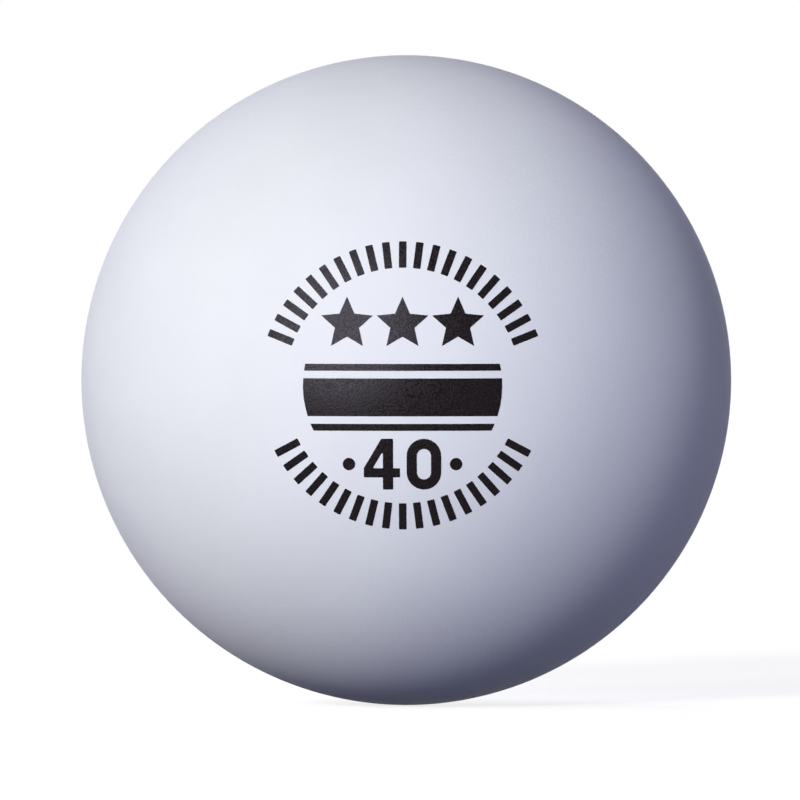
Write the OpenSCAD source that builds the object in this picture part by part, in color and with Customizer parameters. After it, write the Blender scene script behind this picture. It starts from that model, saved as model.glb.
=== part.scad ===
// Table tennis ball of the 40 mm plastic class, with a seam.
// Two moulded cups lap over each other at the equator and are cemented there.
// A stamp is printed over the pole of the front cup.
// The origin is the centre of the ball, +Z is up and the stamp faces -Y.
// All sizes are in millimetres.

/* [Ball] */
// Outside diameter of the finished ball
ball_d = 40.2; // [38:0.1:44]
// Wall of each cup at its pole
wall_t = 0.49; // [0.4:0.01:0.6]

/* [Seam joint] */
// Wall of each cup at the seam, where it is thickened on the inside
rim_t = 0.76; // [0.66:0.01:0.96]
// Thickness of the lip that the front cup carries past the seam
lip_t = 0.36; // [0.26:0.01:0.44]
// Length of that lip, from the seam to its tip
lip_l = 1.4; // [0.8:0.1:2.4]
// Chamfer at the tip of the lip, which leads it into the rear cup
lip_lead = 0.14; // [0.06:0.01:0.22]
// Thickness of the cement film between the two cups
bond_t = 0.04; // [0.02:0.01:0.08]
// Radius of the cement bead that is squeezed out on the inside
bead_r = 0.16; // [0.1:0.01:0.26]

/* [Stamp stars] */
// Thickness of the printed ink film
ink_t = 0.02; // [0.01:0.005:0.05]
// Number of stars in the row, by the ball's grade
star_count = 3; // [1:1:3]
// Radius of the circle through a star's points
star_r = 1.66; // [1.4:0.01:1.7]
// Radius of the circle through the corners between those points
star_waist_r = 0.77; // [0.6:0.01:1]
// Distance from one star to the next
star_pitch = 3.37; // [3.3:0.01:3.8]
// Distance of the row of stars inside the ring
star_inset = 4.2; // [3.6:0.05:4.5]

/* [Stamp ring] */
// Radius of the ring at the middle of its marks
ring_r = 7.95; // [7.6:0.05:9]
// Length of a mark, across the ring
mark_l = 1.6; // [1:0.05:2]
// Width of a mark, along the ring
mark_w = 0.46; // [0.3:0.02:0.6]
// Distance from one mark to the next, along the ring
mark_pitch = 0.95; // [0.8:0.01:1.4]
// Angle that the upper run of marks may fill
upper_angle = 142; // [100:1:150]
// Angle that the lower run of marks may fill
lower_angle = 124; // [90:1:150]

/* [Stamp rule] */
// Length of the thick-and-thin rule across the stamp
rule_l = 12.1; // [9:0.1:13]
// Height of the rule's thick line
rule_h = 2.3; // [1.4:0.05:2.8]
// Height of each of the rule's thin lines
fine_h = 0.42; // [0.2:0.02:0.5]
// Gap between the thick line and a thin one
fine_gap = 0.46; // [0.25:0.01:0.6]
// Drop of the rule's middle below the middle of the stamp
rule_drop = 0.7; // [0.4:0.05:1]

/* [Hidden] */
$fn = 180;

shell_colour = [0.93, 0.94, 0.97];
bond_colour = [0.86, 0.87, 0.90];
ink_colour = [0.13, 0.12, 0.13];

ball_r = ball_d / 2;
inner_r = ball_r - wall_t;
// Inside radius of the straight land that stiffens both rims
land_r = ball_r - rim_t;
lip_r = land_r + lip_t;
socket_r = lip_r + bond_t;
// The film lies half on each side of the seam
rim_y = bond_t / 2;
socket_floor_y = -(lip_l + bond_t);
bead_y = (socket_floor_y - lip_l) / 2;

// Height of the row of stars over the middle of the stamp
star_rise = ring_r - star_inset;
star_points = 5;

mark_step = mark_pitch / ring_r * 180 / PI;
fine_rise = (rule_h + fine_h) / 2 + fine_gap;

// Sections are half sections, with the radius across and the ball's axis upwards
module cavity_section() {
  intersection() {
    circle(r = inner_r);
    translate([0, -ball_r])
      square([land_r, ball_d]);
  }
}

module shell_section() {
  difference() {
    intersection() {
      circle(r = ball_r);
      translate([0, -ball_r])
        square([ball_r, ball_d]);
    }
    cavity_section();
  }
}

// What belongs to the front cup: all above the seam, and the lip below it
module front_zone() {
  polygon([
    [0, ball_r],
    [ball_r, ball_r],
    [ball_r, rim_y],
    [lip_r, rim_y],
    [lip_r, lip_lead - lip_l],
    [lip_r - lip_lead, -lip_l],
    [0, -lip_l]
  ]);
}

// What belongs to the rear cup: all below the seam, less the socket for the lip
module rear_zone() {
  polygon([
    [0, -ball_r],
    [ball_r, -ball_r],
    [ball_r, -rim_y],
    [socket_r, -rim_y],
    [socket_r, socket_floor_y],
    [0, socket_floor_y]
  ]);
}

module bond_section() {
  difference() {
    shell_section();
    front_zone();
    rear_zone();
  }
  intersection() {
    translate([land_r, bead_y])
      circle(r = bead_r);
    cavity_section();
  }
}

// Turns a section about the ball's axis, with its upper end towards -Y
module turned() {
  rotate([90, 0, 0])
    rotate_extrude()
      children();
}

// Wraps a flat figure over the front pole as a film of ink
module printed() {
  color(ink_colour)
    intersection() {
      difference() {
        sphere(r = ball_r + ink_t);
        sphere(r = ball_r);
      }
      rotate([90, 0, 0])
        linear_extrude(height = ball_d)
          children();
    }
}

module star() {
  polygon([
    for (i = [0 : 2 * star_points - 1])
      let (a = 90 + i * 180 / star_points, r = i % 2 == 0 ? star_r : star_waist_r)
        [r * cos(a), r * sin(a)]
  ]);
}

// A run of marks along the ring, spread evenly about its middle angle
module ring_marks(angle, middle) {
  steps = floor(angle / mark_step);
  for (i = [0 : steps])
    rotate(middle + (i - steps / 2) * mark_step)
      translate([ring_r, 0])
        square([mark_l, mark_w], center = true);
}

module rule_line(rise, height) {
  translate([0, rise - rule_drop])
    square([rule_l, height], center = true);
}

module front_cup() {
  color(shell_colour)
    turned()
      intersection() {
        shell_section();
        front_zone();
      }
}

module rear_cup() {
  color(shell_colour)
    turned()
      intersection() {
        shell_section();
        rear_zone();
      }
}

module seam_bond() {
  color(bond_colour)
    turned()
      bond_section();
}

module grade_stars() {
  printed()
    for (i = [0 : star_count - 1])
      translate([(i - (star_count - 1) / 2) * star_pitch, star_rise])
        star();
}

module upper_marks() {
  printed()
    ring_marks(upper_angle, 90);
}

module lower_marks() {
  printed()
    ring_marks(lower_angle, -90);
}

// The rule's ends follow a circle about the middle of the stamp
module centre_rule() {
  printed()
    intersection() {
      circle(d = rule_l);
      union() {
        rule_line(0, rule_h);
        rule_line(fine_rise, fine_h);
        rule_line(-fine_rise, fine_h);
      }
    }
}

front_cup();
rear_cup();
seam_bond();
grade_stars();
upper_marks();
lower_marks();
centre_rule();
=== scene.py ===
"""A table tennis ball in plain studio light.

The ball's centre is the origin, +Z is up and the stamp faces -Y. All sizes are in metres.
"""

import math
from collections import namedtuple

import bmesh
import bpy
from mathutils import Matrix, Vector
from mathutils.geometry import delaunay_2d_cdt


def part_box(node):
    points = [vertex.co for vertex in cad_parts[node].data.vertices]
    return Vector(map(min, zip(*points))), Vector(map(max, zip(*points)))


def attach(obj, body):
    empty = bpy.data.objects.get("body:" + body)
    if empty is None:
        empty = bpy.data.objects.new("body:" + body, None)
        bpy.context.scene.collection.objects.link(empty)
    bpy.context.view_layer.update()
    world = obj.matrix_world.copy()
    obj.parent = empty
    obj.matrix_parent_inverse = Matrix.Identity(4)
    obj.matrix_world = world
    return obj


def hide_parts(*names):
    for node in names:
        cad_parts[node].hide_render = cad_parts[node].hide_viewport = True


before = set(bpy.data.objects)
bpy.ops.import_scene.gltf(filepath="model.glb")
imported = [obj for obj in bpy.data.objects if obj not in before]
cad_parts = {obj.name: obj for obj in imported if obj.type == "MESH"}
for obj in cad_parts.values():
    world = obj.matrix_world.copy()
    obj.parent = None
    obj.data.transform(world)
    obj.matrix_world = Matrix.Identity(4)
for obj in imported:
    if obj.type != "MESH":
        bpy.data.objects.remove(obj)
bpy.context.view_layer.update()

MM = 0.001
BODY = "root"

# The ball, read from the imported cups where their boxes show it
BALL_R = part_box("front_cup")[1].x
LIP_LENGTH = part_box("front_cup")[1].y
CEMENT_FILM = 2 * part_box("rear_cup")[0].y
WALL = 0.49 * MM
RIM_WALL = 0.76 * MM
LIP_WALL = 0.36 * MM
LIP_LEAD = 0.14 * MM
BEAD_R = 0.16 * MM
# The two outer edges at the seam are broken by this much, which leaves a hairline
SEAM_BREAK = 0.03 * MM
INNER_R = BALL_R - WALL
LAND_R = BALL_R - RIM_WALL
LIP_R = LAND_R + LIP_WALL
SOCKET_R = LIP_R + CEMENT_FILM
SOCKET_DEPTH = LIP_LENGTH + CEMENT_FILM
RIM_FRONT = CEMENT_FILM / 2

# The stamp's ink, and how far its corners and the stars' corners are rounded
INK_FILM = 0.014 * MM
INK_CORNER = 0.05 * MM
STAR_CORNER = 0.015 * MM

# The row of grade stars
STAR_COUNT = 3
STAR_POINTS = 5
STAR_R = 1.66 * MM
STAR_WAIST_R = 0.77 * MM
STAR_PITCH = 3.37 * MM
STAR_RISE = 3.75 * MM

# The two runs of marks round the stamp
RING_R = 7.95 * MM
MARK_LENGTH = 1.6 * MM
MARK_WIDTH = 0.46 * MM
MARK_PITCH = 0.95 * MM
UPPER_ANGLE = math.radians(142)
LOWER_ANGLE = math.radians(124)

# The thick-and-thin rule across the stamp
RULE_LENGTH = 12.1 * MM
RULE_HEIGHT = 2.3 * MM
FINE_HEIGHT = 0.42 * MM
FINE_GAP = 0.46 * MM
RULE_DROP = 0.7 * MM

# The size number below the rule, with a dot on either side
DIGIT_HEIGHT = 3.1 * MM
DIGIT_STROKE = 0.62 * MM
FOUR_WIDTH = 2.2 * MM
ZERO_WIDTH = 2.1 * MM
DIGIT_GAP = 0.4 * MM
NUMBER_DROP = 4.76 * MM
DOT_R = 0.38 * MM
DOT_REACH = 3.25 * MM

# The 4 in that number: its bar, the top of its slope and the triangle inside it
FOUR_BAR = 0.9 * DIGIT_STROKE
FOUR_BAR_RISE = 0.24 * DIGIT_HEIGHT
FOUR_BAR_END = 0.42 * MM
FOUR_TOP = 0.1 * MM
FOUR_HOLE_DROP = 0.75 * MM
FOUR_HOLE_INSET = 0.55 * MM

# Fineness of the meshes
SEGMENTS = 192
OUTER_STEPS = 72
INNER_STEPS = 40
BEAD_STEPS = 8
CORNER_STEPS = 4
ROUND_STEPS = 32
INK_STEP = 0.35 * MM
CELL_MIDDLE = Vector((0.5, 0.5))
SHARP_ANGLE = math.radians(30)
# Points closer than this are one point
SAME_POINT = 1e-9
# The kind of triangulation that fills the whole convex hull
WHOLE_HULL = 0

# Noise in the finishes, with the two values that most of it lies between
NOISE_LOW = 0.35
NOISE_HIGH = 0.65
GRAIN_DETAIL = 2.0
MOTTLE_DETAIL = 4.0

# Finish of the plastic
SHELL_LIGHT = (0.855, 0.87, 0.91, 1)
SHELL_DARK = (0.835, 0.85, 0.89, 1)
SHELL_SPECULAR = 0.03
SHELL_ROUGHNESS = (0.55, 0.65)
GROUND_ROUGHNESS = 0.45
GROUND_HALF_WIDTH = 1.6 * MM
GRAIN_SIZE = 0.22 * MM
GRAIN_DEPTH = 0.012 * MM
MOTTLE_SIZE = 5 * MM

# Finish of the cement in the seam
CEMENT_LIGHT = (0.78, 0.785, 0.8, 1)
CEMENT_DARK = (0.7, 0.705, 0.725, 1)
CEMENT_ROUGHNESS = (0.4, 0.55)

# Finish of the ink
INK_LIGHT = (0.008, 0.005, 0.0045, 1)
INK_DARK = (0.002, 0.001, 0.001, 1)
INK_SPECULAR = 0.14
INK_GLOSS_TINT = (0.88, 0.82, 1.0, 1)
INK_ROUGHNESS = (0.12, 0.5)
INK_GRAIN_SIZE = 0.12 * MM
INK_GRAIN_DEPTH = 0.012 * MM

# The camera, and where the ball lies in the picture, in pixels of an image 800 wide and high
IMAGE = 800
BALL_PIXEL = (406.3, 380.1)
BALL_PIXEL_R = 325
CAMERA_DISTANCE = 1.0
CAMERA_AZIMUTH = math.radians(0.68)
CAMERA_ELEVATION = math.radians(1.0)
SENSOR = 36.0

# Floor and world
FLOOR_HALF = 8.0
FLOOR_SHADE = 0.5
FLOOR_GLOW = 0.8
FLOOR_BOUNCE = (0.004, 0.0, 0.075, 1)
WHITE = (1, 1, 1, 1)
AMBIENT = (0.0, 0.0, 0.005, 1)

# Lamps: azimuth to the right of the front, elevation and spread in degrees, strength and colour
Lamp = namedtuple("Lamp", "azimuth elevation spread strength colour")
LAMPS = {
    "key": Lamp(-24, 17, 12, 2.27, (0.93, 0.94, 1.0)),
    "front": Lamp(11, 4, 10, 0.8, (0.72, 0.77, 1.0)),
    "right": Lamp(105, 5, 58, 0.43, (0.67, 0.65, 1.0)),
    "left": Lamp(-52, 20, 16, 0.77, (1.0, 0.95, 0.65)),
    "rear_left": Lamp(-127, 4, 26, 1.5, (0.67, 0.71, 1.0)),
    "top": Lamp(-175, 50, 20, 0.48, (0.67, 0.65, 1.0)),
    "rear": Lamp(172, 3, 6, 1.6, (0.99, 0.99, 0.95)),
}
# The lamp that shows in the ink's gloss
SOFTBOX = Lamp(-24, 19, 51, 4.9, (0.94, 0.98, 1.0))


# Mesh tools

def new_piece(name, mesh, material, node=None):
    """Makes a piece of the ball from a bmesh, with its material and its CAD node."""
    data = bpy.data.meshes.new(name)
    mesh.to_mesh(data)
    mesh.free()
    data.materials.append(material)
    piece = bpy.data.objects.new(name, data)
    bpy.context.scene.collection.objects.link(piece)
    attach(piece, BODY)
    if node:
        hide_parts(node)
    return piece


def shade_smooth(mesh):
    """Smooths every face, and keeps the edges sharp that are meant to be."""
    mesh.normal_update()
    for face in mesh.faces:
        face.smooth = True
    for edge in mesh.edges:
        edge.smooth = edge.calc_face_angle(0) < SHARP_ANGLE


def turned_ring(mesh, radius, front):
    """The points of one ring about the ball's axis, or the one point on the axis."""
    if radius < SAME_POINT:
        return [mesh.verts.new((0, -front, 0))]
    turns = [2 * math.pi * i / SEGMENTS for i in range(SEGMENTS)]
    return [mesh.verts.new((radius * math.cos(t), -front, radius * math.sin(t))) for t in turns]


def turned(profile, closed=False):
    """Turns a profile of (radius, distance to the front) points about the ball's axis."""
    mesh = bmesh.new()
    rings = [turned_ring(mesh, radius, front) for radius, front in profile]
    following = rings[1:] + rings[:1] if closed else rings[1:]
    for ring, after in zip(rings, following):
        for i in range(SEGMENTS):
            j = (i + 1) % SEGMENTS
            side = [ring[i % len(ring)], ring[j % len(ring)]]
            side_after = [after[j % len(after)], after[i % len(after)]]
            mesh.faces.new(list(dict.fromkeys(side + side_after)))
    bmesh.ops.recalc_face_normals(mesh, faces=mesh.faces[:])
    shade_smooth(mesh)
    return mesh


def arc(centre, radius, start, end, steps):
    """Points along an arc, from one angle to another."""
    angles = [start + (end - start) * i / steps for i in range(steps + 1)]
    return [(centre[0] + radius * math.cos(a), centre[1] + radius * math.sin(a)) for a in angles]


# The two cups and their cement

def cup_outside(rim_front, toward):
    """The outer arc of a cup from its pole to its rim, with the rim's edge broken."""
    edge = rim_front + toward * SEAM_BREAK
    points = arc((0, 0), BALL_R, toward * math.pi / 2, math.asin(edge / BALL_R), OUTER_STEPS)
    return [(0, toward * BALL_R)] + points[1:] + [(BALL_R - SEAM_BREAK, rim_front)]


def cup_inside(toward):
    """The inner arc of a cup from its thickened rim to its pole."""
    start = toward * math.acos(LAND_R / INNER_R)
    points = arc((0, 0), INNER_R, start, toward * math.pi / 2, INNER_STEPS)
    return points[:-1] + [(0, toward * INNER_R)]


def front_profile():
    """The stamped cup: its rim carries a lip past the seam."""
    lip = [
        (LIP_R, RIM_FRONT),
        (LIP_R, LIP_LEAD - LIP_LENGTH),
        (LIP_R - LIP_LEAD, -LIP_LENGTH),
        (LAND_R, -LIP_LENGTH),
    ]
    return cup_outside(RIM_FRONT, 1) + lip + cup_inside(1)


def rear_profile():
    """The other cup: its rim has a socket for the lip."""
    socket = [
        (SOCKET_R, -RIM_FRONT),
        (SOCKET_R, -SOCKET_DEPTH),
        (LAND_R, -SOCKET_DEPTH),
    ]
    return cup_outside(-RIM_FRONT, -1) + socket + cup_inside(-1)


def bond_profile():
    """The cement: a film all along the lap, and a bead at the tip of the lip."""
    bead_middle = (LAND_R, -(LIP_LENGTH + SOCKET_DEPTH) / 2)
    lip_side = [
        (BALL_R - SEAM_BREAK, RIM_FRONT),
        (LIP_R, RIM_FRONT),
        (LIP_R, LIP_LEAD - LIP_LENGTH),
        (LIP_R - LIP_LEAD, -LIP_LENGTH),
        (LAND_R, -LIP_LENGTH),
    ]
    bead = arc(bead_middle, BEAD_R, math.pi / 2, 3 * math.pi / 2, BEAD_STEPS)
    socket_side = [
        (LAND_R, -SOCKET_DEPTH),
        (SOCKET_R, -SOCKET_DEPTH),
        (SOCKET_R, -RIM_FRONT),
        (BALL_R - SEAM_BREAK, -RIM_FRONT),
    ]
    return lip_side + bead + socket_side


# The ink, drawn flat with x to the right and y up, then wrapped over the front pole

def rounded(corners, radius):
    """A closed outline with each corner replaced by a short arc."""
    outline = []
    for i, corner in enumerate(corners):
        here = Vector(corner)
        before = (Vector(corners[i - 1]) - here).normalized()
        after = (Vector(corners[(i + 1) % len(corners)]) - here).normalized()
        half = before.angle(after) / 2
        middle = here + (before + after).normalized() * radius / math.sin(half)
        first = here + before * radius / math.tan(half) - middle
        last = here + after * radius / math.tan(half) - middle
        swing = first.angle_signed(last)
        for step in range(CORNER_STEPS + 1):
            turn = -swing * step / CORNER_STEPS
            spoke = Vector((
                first.x * math.cos(turn) - first.y * math.sin(turn),
                first.x * math.sin(turn) + first.y * math.cos(turn),
            ))
            outline.append(middle + spoke)
    return outline


def divided(outline):
    """The same closed outline with points no further apart than the ink's step."""
    points = []
    for i, start in enumerate(outline):
        start = Vector(start)
        side = Vector(outline[(i + 1) % len(outline)]) - start
        parts = max(1, math.ceil(side.length / INK_STEP))
        points += [start + side * k / parts for k in range(parts)]
    return points


def is_inside(point, loops):
    """Whether a point lies in the figure, by counting the sides to its right."""
    crossings = 0
    for loop in loops:
        for i, (x1, y1) in enumerate(loop):
            x0, y0 = loop[i - 1]
            if (y0 > point.y) != (y1 > point.y):
                crossings += x0 + (point.y - y0) / (y1 - y0) * (x1 - x0) > point.x
    return crossings % 2 == 1


def inner_points(loops):
    """Grid points inside a figure, clear of its outline, so that its film can follow the ball."""
    edge = [p for loop in loops for p in loop]
    low = Vector((min(p.x for p in edge), min(p.y for p in edge)))
    high = Vector((max(p.x for p in edge), max(p.y for p in edge)))
    points = []
    for i in range(int((high.x - low.x) / INK_STEP) + 1):
        for j in range(int((high.y - low.y) / INK_STEP) + 1):
            point = low + (Vector((i, j)) + CELL_MIDDLE) * INK_STEP
            clear = min((point - p).length for p in edge) > INK_STEP / 2
            if clear and is_inside(point, loops):
                points.append(point)
    return points


def on_ball(point, radius):
    """The place over the front pole where a flat point lands on a sphere."""
    return Vector((point.x, -math.sqrt(radius**2 - point.length_squared), point.y))


def middle_of(points):
    """The middle of some flat points."""
    return sum(points, Vector((0, 0))) / len(points)


def add_film(mesh, flat, triangles):
    """Lifts flat triangles onto the ball, as a closed film of ink."""
    top = [mesh.verts.new(on_ball(p, BALL_R + INK_FILM)) for p in flat]
    base = [mesh.verts.new(on_ball(p, BALL_R)) for p in flat]
    around = {(t[k - 1], t[k]) for t in triangles for k in range(len(t))}
    for t in triangles:
        mesh.faces.new([top[i] for i in t])
        mesh.faces.new([base[i] for i in reversed(t)])
    for i, j in sorted(around):
        if (j, i) not in around:
            mesh.faces.new([top[j], top[i], base[i], base[j]])


def add_island(mesh, outlines):
    """Adds one island of ink: its outline first, then the outlines of its holes."""
    loops = [divided(outline) for outline in outlines]
    points = []
    sides = []
    for loop in loops:
        first = len(points)
        points += loop
        sides += [(first + i, first + (i + 1) % len(loop)) for i in range(len(loop))]
    points += inner_points(loops)
    flat, _, hull, *_ = delaunay_2d_cdt(points, sides, [], WHOLE_HULL, SAME_POINT, False)
    add_film(mesh, flat, [t for t in hull if is_inside(middle_of([flat[i] for i in t]), loops)])


def printed(islands):
    """The mesh of a printed figure, from the outlines of its islands."""
    mesh = bmesh.new()
    for outlines in islands:
        add_island(mesh, outlines)
    shade_smooth(mesh)
    return mesh


def moved(outline, x, y):
    """The outline, shifted on the flat."""
    return [Vector(p) + Vector((x, y)) for p in outline]


def rectangle(width, height):
    """A rectangle about the middle, with eased corners."""
    x, y = width / 2, height / 2
    return rounded([(-x, -y), (x, -y), (x, y), (-x, y)], INK_CORNER)


def circle(radius):
    """A round outline about the middle."""
    return arc((0, 0), radius, 0, 2 * math.pi, ROUND_STEPS)[:-1]


def star_islands():
    """The row of full-bodied stars."""
    corners = []
    for i in range(2 * STAR_POINTS):
        turn = math.pi / 2 + i * math.pi / STAR_POINTS
        reach = STAR_WAIST_R if i % 2 else STAR_R
        corners.append((reach * math.cos(turn), reach * math.sin(turn)))
    star = rounded(corners, STAR_CORNER)
    middle = (STAR_COUNT - 1) / 2
    return [[moved(star, (i - middle) * STAR_PITCH, STAR_RISE)] for i in range(STAR_COUNT)]


def mark_islands(angle, middle):
    """A run of marks along the ring, spread evenly about its middle angle."""
    step = MARK_PITCH / RING_R
    steps = math.floor(angle / step)
    mark = rectangle(MARK_LENGTH, MARK_WIDTH)
    islands = []
    for i in range(steps + 1):
        turn = middle + (i - steps / 2) * step
        across = Vector((math.cos(turn), math.sin(turn)))
        along = Vector((-math.sin(turn), math.cos(turn)))
        islands.append([[across * (RING_R + p.x) + along * p.y for p in mark]])
    return islands


def rule_line(rise, height):
    """One line of the rule, with ends that follow a circle about the middle of the stamp."""
    reach = RULE_LENGTH / 2
    low = rise - RULE_DROP - height / 2
    high = low + height
    right = arc((0, 0), reach, math.asin(low / reach), math.asin(high / reach), CORNER_STEPS)
    left = [(-x, y) for x, y in reversed(right)]
    return right + left


def rule_islands():
    """A thick line between two thin ones."""
    rise = (RULE_HEIGHT + FINE_HEIGHT) / 2 + FINE_GAP
    lines = ((0, RULE_HEIGHT), (rise, FINE_HEIGHT), (-rise, FINE_HEIGHT))
    return [[rule_line(*line)] for line in lines]


def four_outlines():
    """A plain 4, from the lower left of its box: the figure and the triangle inside it."""
    bar_high = FOUR_BAR_RISE + FOUR_BAR
    stem_right = FOUR_WIDTH - FOUR_BAR_END
    stem_left = stem_right - DIGIT_STROKE
    figure = [
        (stem_left, 0),
        (stem_right, 0),
        (stem_right, FOUR_BAR_RISE),
        (FOUR_WIDTH, FOUR_BAR_RISE),
        (FOUR_WIDTH, bar_high),
        (stem_right, bar_high),
        (stem_right, DIGIT_HEIGHT),
        (stem_left - FOUR_TOP, DIGIT_HEIGHT),
        (0, bar_high),
        (0, FOUR_BAR_RISE),
        (stem_left, FOUR_BAR_RISE),
    ]
    hole = [
        (stem_left, bar_high),
        (stem_left, DIGIT_HEIGHT - FOUR_HOLE_DROP),
        (FOUR_HOLE_INSET, bar_high),
    ]
    return [rounded(figure, INK_CORNER), rounded(hole, INK_CORNER)]


def stadium(width, height):
    """An upright outline with round ends, about the middle."""
    r = width / 2
    rise = height / 2 - r
    steps = ROUND_STEPS // 2
    upper_end = arc((0, rise), r, 0, math.pi, steps)
    lower_end = arc((0, -rise), r, math.pi, 2 * math.pi, steps)
    return upper_end + lower_end


def zero_outlines():
    """A plain 0, about its middle: the figure and the space inside it."""
    return [
        stadium(ZERO_WIDTH, DIGIT_HEIGHT),
        stadium(ZERO_WIDTH - 2 * DIGIT_STROKE, DIGIT_HEIGHT - 2 * DIGIT_STROKE),
    ]


def number_islands():
    """The number 40 between two dots."""
    left = -(FOUR_WIDTH + DIGIT_GAP + ZERO_WIDTH) / 2
    zero_middle = left + FOUR_WIDTH + DIGIT_GAP + ZERO_WIDTH / 2
    four = [moved(o, left, -NUMBER_DROP - DIGIT_HEIGHT / 2) for o in four_outlines()]
    zero = [moved(o, zero_middle, -NUMBER_DROP) for o in zero_outlines()]
    dots = [[moved(circle(DOT_R), x, -NUMBER_DROP)] for x in (-DOT_REACH, DOT_REACH)]
    return [four, zero] + dots


# Materials

def add_node(tree, kind, inputs, **settings):
    """Adds a node with its settings and with its inputs, each a value or an output to link."""
    node = tree.nodes.new(kind)
    for name, value in settings.items():
        setattr(node, name, value)
    for name, value in inputs.items():
        if isinstance(value, bpy.types.NodeSocket):
            tree.links.new(value, node.inputs[name])
        else:
            node.inputs[name].default_value = value
    return node


def new_material(name):
    """A material with a plain shader. Gives the material, its node tree and the shader."""
    material = bpy.data.materials.new(name)
    material.use_nodes = True
    tree = material.node_tree
    return material, tree, tree.nodes["Principled BSDF"]


def noise(tree, size, detail=GRAIN_DETAIL):
    """Cloudy variation of about the given size, fixed to the piece."""
    place = add_node(tree, "ShaderNodeTexCoord", {}).outputs["Object"]
    inputs = {"Vector": place, "Scale": 1 / size, "Detail": detail}
    return add_node(tree, "ShaderNodeTexNoise", inputs).outputs["Fac"]


def spread(tree, factor, low, high):
    """Maps a noise to a range of values."""
    inputs = {
        "Value": factor,
        "From Min": NOISE_LOW,
        "From Max": NOISE_HIGH,
        "To Min": low,
        "To Max": high,
    }
    return add_node(tree, "ShaderNodeMapRange", inputs).outputs["Result"]


def between(tree, factor, dark, light):
    """A colour between two, by a noise."""
    node = add_node(tree, "ShaderNodeValToRGB", {"Fac": factor})
    low_end, high_end = node.color_ramp.elements
    low_end.color = dark
    low_end.position = NOISE_LOW
    high_end.color = light
    high_end.position = NOISE_HIGH
    return node.outputs["Color"]


def grain_bump(tree, size, depth):
    """The fine grain that tumbling leaves on the plastic, or the pad on the ink."""
    inputs = {"Height": noise(tree, size), "Distance": depth}
    return add_node(tree, "ShaderNodeBump", inputs).outputs["Normal"]


def ground_band(tree):
    """1 beside the seam, where it was ground flush, and 0 away from it."""
    place = add_node(tree, "ShaderNodeTexCoord", {}).outputs["Object"]
    along = add_node(tree, "ShaderNodeSeparateXYZ", {"Vector": place}).outputs["Y"]
    away = add_node(tree, "ShaderNodeMath", {0: along}, operation="ABSOLUTE").outputs["Value"]
    inputs = {
        "Value": away,
        "From Min": GROUND_HALF_WIDTH / 2,
        "From Max": GROUND_HALF_WIDTH,
        "To Min": 1.0,
        "To Max": 0.0,
    }
    fade = add_node(tree, "ShaderNodeMapRange", inputs, interpolation_type="SMOOTHSTEP")
    return fade.outputs["Result"]


def shell_material():
    """Cool white plastic, matte from tumbling, a little smoother where the seam was ground."""
    material, tree, shader = new_material("shell")
    rough = spread(tree, noise(tree, GRAIN_SIZE), *SHELL_ROUGHNESS)
    inputs = {"Factor": ground_band(tree), "A": rough, "B": GROUND_ROUGHNESS}
    rough = add_node(tree, "ShaderNodeMix", inputs).outputs["Result"]
    mottle = noise(tree, MOTTLE_SIZE, MOTTLE_DETAIL)
    tree.links.new(between(tree, mottle, SHELL_DARK, SHELL_LIGHT), shader.inputs["Base Color"])
    tree.links.new(rough, shader.inputs["Roughness"])
    tree.links.new(grain_bump(tree, GRAIN_SIZE, GRAIN_DEPTH), shader.inputs["Normal"])
    shader.inputs["Specular IOR Level"].default_value = SHELL_SPECULAR
    return material


def cement_material():
    """Cement that dried a little greyer and glossier than the plastic."""
    material, tree, shader = new_material("cement")
    cloud = noise(tree, GRAIN_SIZE)
    tree.links.new(between(tree, cloud, CEMENT_DARK, CEMENT_LIGHT), shader.inputs["Base Color"])
    tree.links.new(spread(tree, cloud, *CEMENT_ROUGHNESS), shader.inputs["Roughness"])
    tree.links.new(grain_bump(tree, GRAIN_SIZE, GRAIN_DEPTH), shader.inputs["Normal"])
    shader.inputs["Specular IOR Level"].default_value = SHELL_SPECULAR
    return material


def ink_material():
    """Satin black ink, with a fine grain of its own that speckles its gloss."""
    material, tree, shader = new_material("ink")
    cloud = noise(tree, INK_GRAIN_SIZE)
    tree.links.new(between(tree, cloud, INK_DARK, INK_LIGHT), shader.inputs["Base Color"])
    tree.links.new(spread(tree, cloud, *INK_ROUGHNESS), shader.inputs["Roughness"])
    tree.links.new(grain_bump(tree, INK_GRAIN_SIZE, INK_GRAIN_DEPTH), shader.inputs["Normal"])
    shader.inputs["Specular IOR Level"].default_value = INK_SPECULAR
    shader.inputs["Specular Tint"].default_value = INK_GLOSS_TINT
    return material


# Studio

def direction(azimuth, elevation):
    """The way from the ball to a lamp or the camera, which is in front at azimuth 0."""
    level = math.cos(elevation)
    return Vector((math.sin(azimuth) * level, -math.cos(azimuth) * level, math.sin(elevation)))


def larger(tree, first, second):
    """The larger of two values."""
    node = add_node(tree, "ShaderNodeMath", {0: first, 1: second}, operation="MAXIMUM")
    return node.outputs["Value"]


def seen_or_lighting(tree, seen, lighting):
    """One shader for the camera, gloss and glass, and another for the light on the ball."""
    path = add_node(tree, "ShaderNodeLightPath", {})
    directly = larger(tree, path.outputs["Is Camera Ray"], path.outputs["Is Glossy Ray"])
    directly = larger(tree, directly, path.outputs["Is Transmission Ray"])
    node = add_node(tree, "ShaderNodeMixShader", {0: directly, 1: lighting, 2: seen})
    return node.outputs["Shader"]


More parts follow.
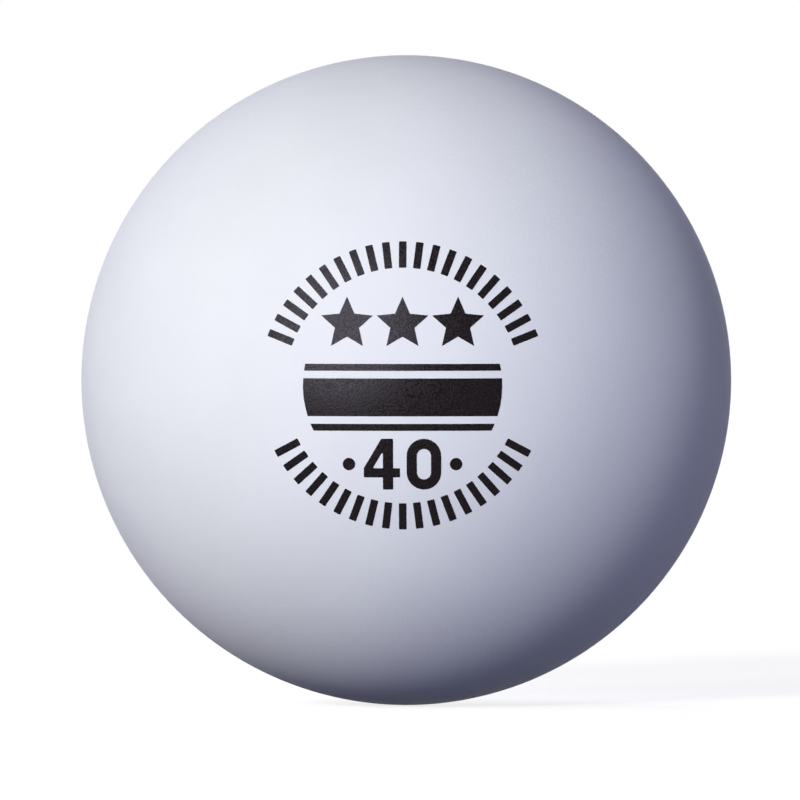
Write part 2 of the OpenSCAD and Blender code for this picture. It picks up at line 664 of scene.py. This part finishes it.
def make_world():
    """White where it is seen, and a trace of cool light on the ball."""
    world = bpy.data.worlds.new("studio")
    world.use_nodes = True
    tree = world.node_tree
    tree.nodes.clear()
    light = add_node(tree, "ShaderNodeBackground", {"Color": AMBIENT}).outputs["Background"]
    white = add_node(tree, "ShaderNodeBackground", {"Color": WHITE}).outputs["Background"]
    add_node(tree, "ShaderNodeOutputWorld", {"Surface": seen_or_lighting(tree, white, light)})
    bpy.context.scene.world = world


def floor_material():
    """White where it is seen, with the ball's shadow on it, and a dim cool bounce on the ball."""
    material = bpy.data.materials.new("floor")
    material.use_nodes = True
    tree = material.node_tree
    tree.nodes.clear()
    shade = (FLOOR_SHADE, FLOOR_SHADE, FLOOR_SHADE, 1)
    lit = add_node(tree, "ShaderNodeBsdfDiffuse", {"Color": shade}).outputs["BSDF"]
    inputs = {"Color": WHITE, "Strength": FLOOR_GLOW}
    glow = add_node(tree, "ShaderNodeEmission", inputs).outputs["Emission"]
    white = add_node(tree, "ShaderNodeAddShader", {0: lit, 1: glow}).outputs["Shader"]
    dim = add_node(tree, "ShaderNodeBsdfDiffuse", {"Color": FLOOR_BOUNCE}).outputs["BSDF"]
    add_node(tree, "ShaderNodeOutputMaterial", {"Surface": seen_or_lighting(tree, white, dim)})
    return material


def make_floor():
    """A wide plain floor that the ball stands on. Gloss shows the world in its place."""
    mesh = bmesh.new()
    reach = ((-1, -1), (1, -1), (1, 1), (-1, 1))
    mesh.faces.new([mesh.verts.new((x * FLOOR_HALF, y * FLOOR_HALF, -BALL_R)) for x, y in reach])
    data = bpy.data.meshes.new("floor")
    mesh.to_mesh(data)
    mesh.free()
    data.materials.append(floor_material())
    floor = bpy.data.objects.new("floor", data)
    bpy.context.scene.collection.objects.link(floor)
    floor.visible_glossy = False


def make_camera():
    """A long lens at the photographed angle, with the ball where the picture has it."""
    data = bpy.data.cameras.new("camera")
    data.sensor_width = SENSOR
    focal_pixels = BALL_PIXEL_R * math.sqrt(CAMERA_DISTANCE**2 - BALL_R**2) / BALL_R
    data.lens = focal_pixels * SENSOR / IMAGE
    data.shift_x = (IMAGE / 2 - BALL_PIXEL[0]) / IMAGE
    data.shift_y = (BALL_PIXEL[1] - IMAGE / 2) / IMAGE
    camera = bpy.data.objects.new("camera", data)
    bpy.context.scene.collection.objects.link(camera)
    toward = direction(CAMERA_AZIMUTH, CAMERA_ELEVATION)
    camera.location = toward * CAMERA_DISTANCE
    camera.rotation_euler = (-toward).to_track_quat("-Z", "Y").to_euler()
    bpy.context.scene.camera = camera


def make_lamp(name, lamp):
    """A soft lamp, far enough away to light the whole ball alike."""
    data = bpy.data.lights.new(name, "SUN")
    data.energy = lamp.strength
    data.color = lamp.colour
    data.angle = math.radians(lamp.spread)
    light = bpy.data.objects.new(name, data)
    bpy.context.scene.collection.objects.link(light)
    toward = direction(math.radians(lamp.azimuth), math.radians(lamp.elevation))
    light.location = toward
    light.rotation_euler = toward.to_track_quat("Z", "Y").to_euler()
    return light


def make_lamps():
    """The lamps that light the ball. None of them shows as glare."""
    for name, lamp in LAMPS.items():
        make_lamp(name, lamp).visible_glossy = False


def make_softbox(ink_pieces):
    """The lamp that shows in the ink's gloss and nowhere else. Only the ink can block it."""
    light = make_lamp("softbox", SOFTBOX)
    light.visible_diffuse = False
    lit = bpy.data.collections.new("softbox_lights")
    for piece in ink_pieces:
        lit.objects.link(piece)
    light.light_linking.receiver_collection = lit
    light.light_linking.blocker_collection = lit


def make_ball():
    """All the pieces of the ball, each in the place of its CAD node. Gives the printed ones."""
    shell = shell_material()
    ink = ink_material()
    new_piece("front_cup_shell", turned(front_profile()), shell, "front_cup")
    new_piece("rear_cup_shell", turned(rear_profile()), shell, "rear_cup")
    bond = turned(bond_profile(), closed=True)
    new_piece("seam_cement", bond, cement_material(), "seam_bond")
    upper = mark_islands(UPPER_ANGLE, math.pi / 2)
    lower = mark_islands(LOWER_ANGLE, -math.pi / 2)
    return [
        new_piece("star_row", printed(star_islands()), ink, "grade_stars"),
        new_piece("upper_ring", printed(upper), ink, "upper_marks"),
        new_piece("lower_ring", printed(lower), ink, "lower_marks"),
        new_piece("rule_lines", printed(rule_islands()), ink, "centre_rule"),
        new_piece("size_number", printed(number_islands()), ink),
    ]


make_camera()
make_world()
make_floor()
make_lamps()
make_softbox(make_ball())
bpy.context.scene.view_settings.view_transform = "Standard"
